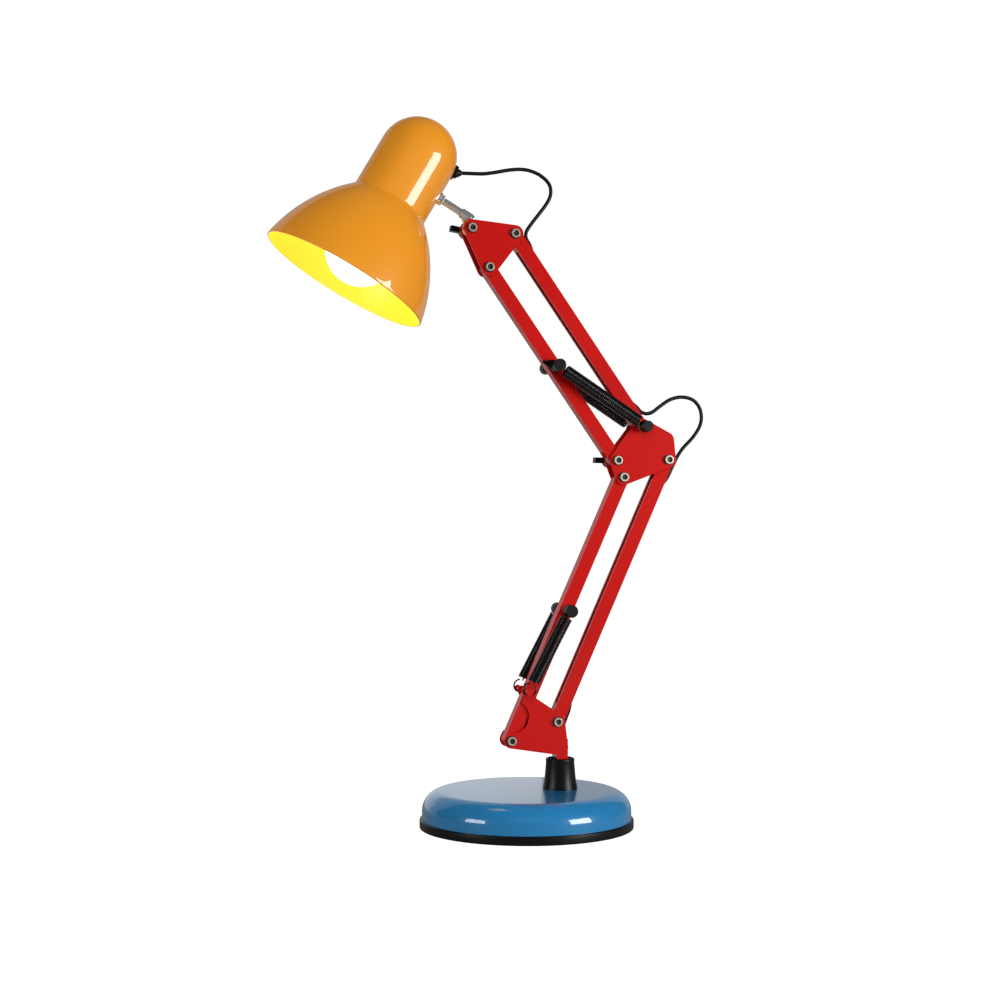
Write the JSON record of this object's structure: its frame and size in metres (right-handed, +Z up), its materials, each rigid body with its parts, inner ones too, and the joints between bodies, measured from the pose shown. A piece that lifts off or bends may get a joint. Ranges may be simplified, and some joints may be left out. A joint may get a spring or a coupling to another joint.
{
  "type": "architect desk lamp",
  "caption": "Spring-balanced desk lamp with two parallelogram arms, a bell shade and a round swivelling foot.",
  "frame": {"origin": "centre of the foot's underside, on the surface that the lamp stands on", "axes": "+Z up, +Y along the arms' pivots, the arms fold in the XZ plane and the shade is towards -X"},
  "size_m": [0.376, 0.18, 0.5919],
  "materials": {
    "cover": "gloss",
    "rim": "semi-gloss",
    "pad": "matt",
    "weight": "rough",
    "black_plastic": "satin",
    "zinc": "zinc plated",
    "arm_paint": "gloss",
    "screw": "polished",
    "dark_washer": "blackened",
    "nylon": "satin",
    "spring_steel": "black",
    "lead": "satin",
    "shade_paint": "gloss",
    "yellow_zinc": "yellow zinc plated",
    "holder": "satin",
    "bulb_glass": "opal",
    "bulb_cap": "threaded"
  },
  "bodies": {
    "base": {"base_cover": "cover", "base_rim": "rim", "base_pad": "pad", "base_tray": "zinc", "base_weight": "weight", "cord_gland": "black_plastic", "swivel_socket": "black_plastic", "socket_nut": "zinc", "lead_in_base": "lead"},
    "base_bracket": {"base_bracket_plates": "arm_paint", "swivel_pin": "zinc", "pin_nut": "zinc", "swivel_bush": "nylon", "base_bolts": "screw", "base_washers": "dark_washer", "base_nylon_washers": "nylon", "lead_in_pin": "lead", "cord_foot_loop": "lead", "lower_springs": "spring_steel"},
    "lower_rear_bar": {"lower_rear_bar": "arm_paint", "lead_in_lower_bar": "lead"},
    "lower_front_bar": {"lower_front_bar": "arm_paint", "lower_spring_stud": "screw", "lower_stud_caps": "black_plastic"},
    "elbow": {"elbow_plates": "arm_paint", "elbow_bolts": "screw", "elbow_washers": "dark_washer", "elbow_nylon_washers": "nylon", "elbow_spring_stud": "screw", "elbow_stud_caps": "black_plastic", "cord_elbow_loop_1": "lead", "cord_elbow_loop_2": "lead", "upper_springs": "spring_steel"},
    "upper_rear_bar": {"upper_rear_bar": "arm_paint", "lead_in_upper_bar": "lead"},
    "upper_front_bar": {"upper_front_bar": "arm_paint", "upper_spring_stud": "screw", "upper_stud_caps": "black_plastic"},
    "head_bracket": {"head_plates": "arm_paint", "head_bolts": "screw", "head_washers": "dark_washer", "head_nylon_washers": "nylon", "cord_shade_loop_3": "lead", "cord_shade_loop_2": "lead"},
    "head_link": {"link_eye": "yellow_zinc", "link_ferrule": "screw", "link_spacers": "nylon", "cord_shade_loop_1": "lead"},
    "shade": {"shade_shell": "shade_paint", "link_rod": "screw", "rod_nuts": "screw", "holder_strap": "zinc", "strain_relief": "black_plastic", "lamp_holder": "holder", "holder_nipple": "zinc", "bulb_glass": "bulb_glass", "bulb_cap": "bulb_cap", "lead_in_shade": "lead"},
    "elbow_knob": {"elbow_knob": "black_plastic"},
    "head_knob": {"head_knob": "black_plastic"}
  },
  "joints": [
    {"name": "base_swivel", "type": "hinge", "parent": "base", "child": "base_bracket", "pos_m": [0.0293, 0, 0.0485], "axis": [0, 0, 1], "range_deg": [-170, 170]},
    {"name": "lower_arm_tilt", "type": "hinge", "parent": "base_bracket", "child": "lower_rear_bar", "pos_m": [0.025, 0, 0.0883], "axis": [0, 1, 0], "range_deg": [-44, 24], "deforming": ["cord_foot_loop"]},
    {"name": "lower_front_tilt", "type": "hinge", "parent": "base_bracket", "child": "lower_front_bar", "pos_m": [-0.0151, 0, 0.0733], "axis": [0, 1, 0], "range_deg": [-44, 24], "deforming": ["lower_springs"]},
    {"name": "elbow_level", "type": "hinge", "parent": "lower_rear_bar", "child": "elbow", "pos_m": [0.12323, 0, 0.30892], "axis": [0, 1, 0], "range_deg": [-24, 44], "deforming": ["cord_elbow_loop_2"]},
    {"name": "upper_arm_tilt", "type": "hinge", "parent": "elbow", "child": "upper_rear_bar", "pos_m": [0.09993, 0, 0.33692], "axis": [0, 1, 0], "range_deg": [-50, 40], "deforming": ["cord_elbow_loop_1"]},
    {"name": "upper_front_tilt", "type": "hinge", "parent": "elbow", "child": "upper_front_bar", "pos_m": [0.07773, 0, 0.30822], "axis": [0, 1, 0], "range_deg": [-50, 40], "deforming": ["upper_springs"]},
    {"name": "head_level", "type": "hinge", "parent": "upper_rear_bar", "child": "head_bracket", "pos_m": [-0.01181, 0, 0.4971], "axis": [0, 1, 0], "range_deg": [-40, 50], "deforming": ["cord_shade_loop_3"]},
    {"name": "head_tilt", "type": "hinge", "parent": "head_bracket", "child": "head_link", "pos_m": [-0.04881, 0, 0.5007], "axis": [0, 1, 0], "range_deg": [-45, 45], "deforming": ["cord_shade_loop_2"]},
    {"name": "shade_swivel", "type": "hinge", "parent": "head_link", "child": "shade", "pos_m": [-0.05355, 0, 0.51233], "axis": [0.8607, 0, -0.509], "range_deg": [-90, 90], "deforming": ["cord_shade_loop_1"]},
    {"name": "elbow_knob_turn", "type": "hinge", "parent": "elbow", "child": "elbow_knob", "pos_m": [0.07773, 0, 0.30822], "axis": [0, 1, 0], "range_deg": [-120, 120]},
    {"name": "head_knob_turn", "type": "hinge", "parent": "head_bracket", "child": "head_knob", "pos_m": [-0.04881, 0, 0.5007], "axis": [0, 1, 0], "range_deg": [-120, 120]}
  ],
  "couplings": [
    {"joint": "lower_front_tilt", "follows": "lower_arm_tilt", "ratio": 1},
    {"joint": "elbow_level", "follows": "lower_arm_tilt", "ratio": -1},
    {"joint": "upper_front_tilt", "follows": "upper_arm_tilt", "ratio": 1},
    {"joint": "head_level", "follows": "upper_arm_tilt", "ratio": -1}
  ]
}
